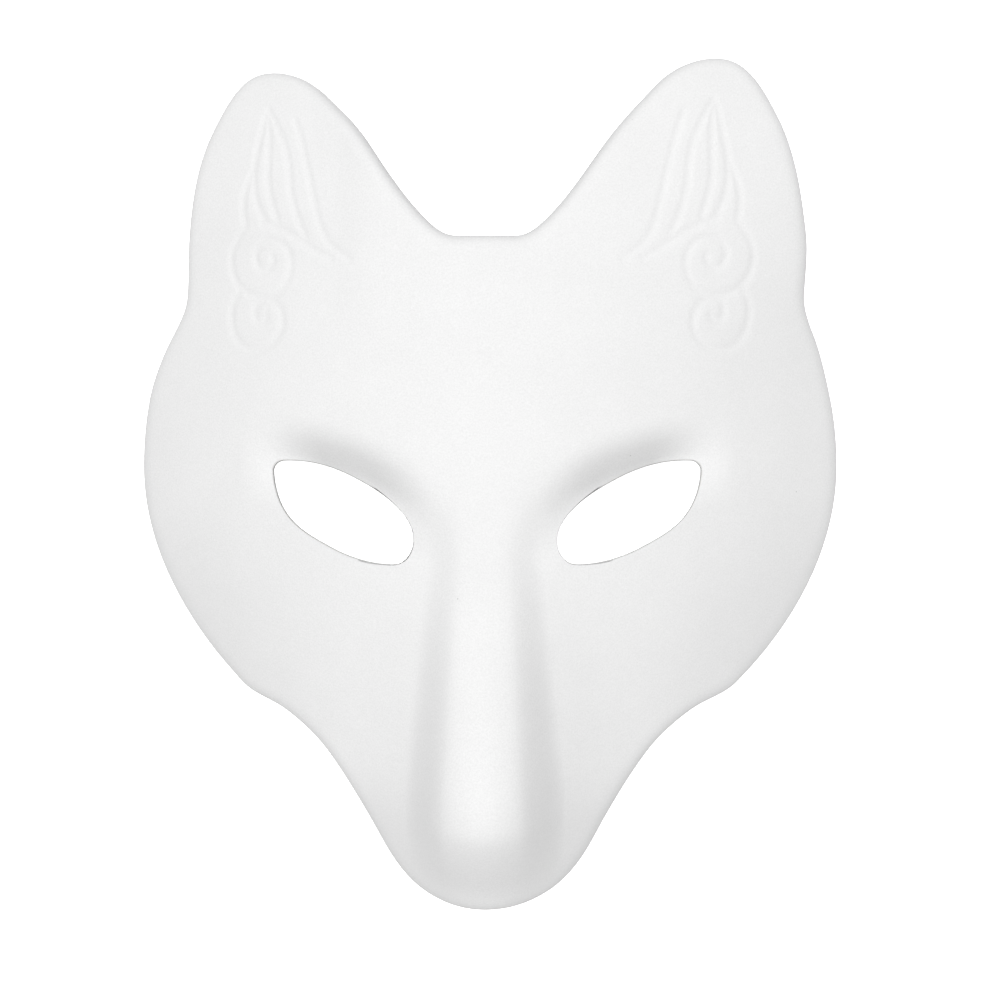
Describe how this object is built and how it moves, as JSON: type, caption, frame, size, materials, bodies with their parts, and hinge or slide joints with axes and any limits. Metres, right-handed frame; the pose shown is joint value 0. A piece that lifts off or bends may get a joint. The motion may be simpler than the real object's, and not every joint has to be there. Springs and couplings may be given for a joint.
{
  "type": "kitsune mask",
  "caption": "Fox face mask moulded from white foam sheet, with pointed ears, slanted eye holes, a long flat-topped muzzle and flame and scroll ornament pressed into the ears.",
  "frame": {"origin": "on the floor, below the middle of the mask, which lies face up on its cheek rims", "axes": "+Z out of the face, +Y towards the ears, -Y towards the chin, +X towards the wearer's left ear"},
  "size_m": [0.247, 0.278, 0.09],
  "materials": {
    "white_foam": "matt, fine-grained, slightly mottled white foam"
  },
  "bodies": {
    "root": {"mask_shell": "white_foam"}
  },
  "joints": []
}
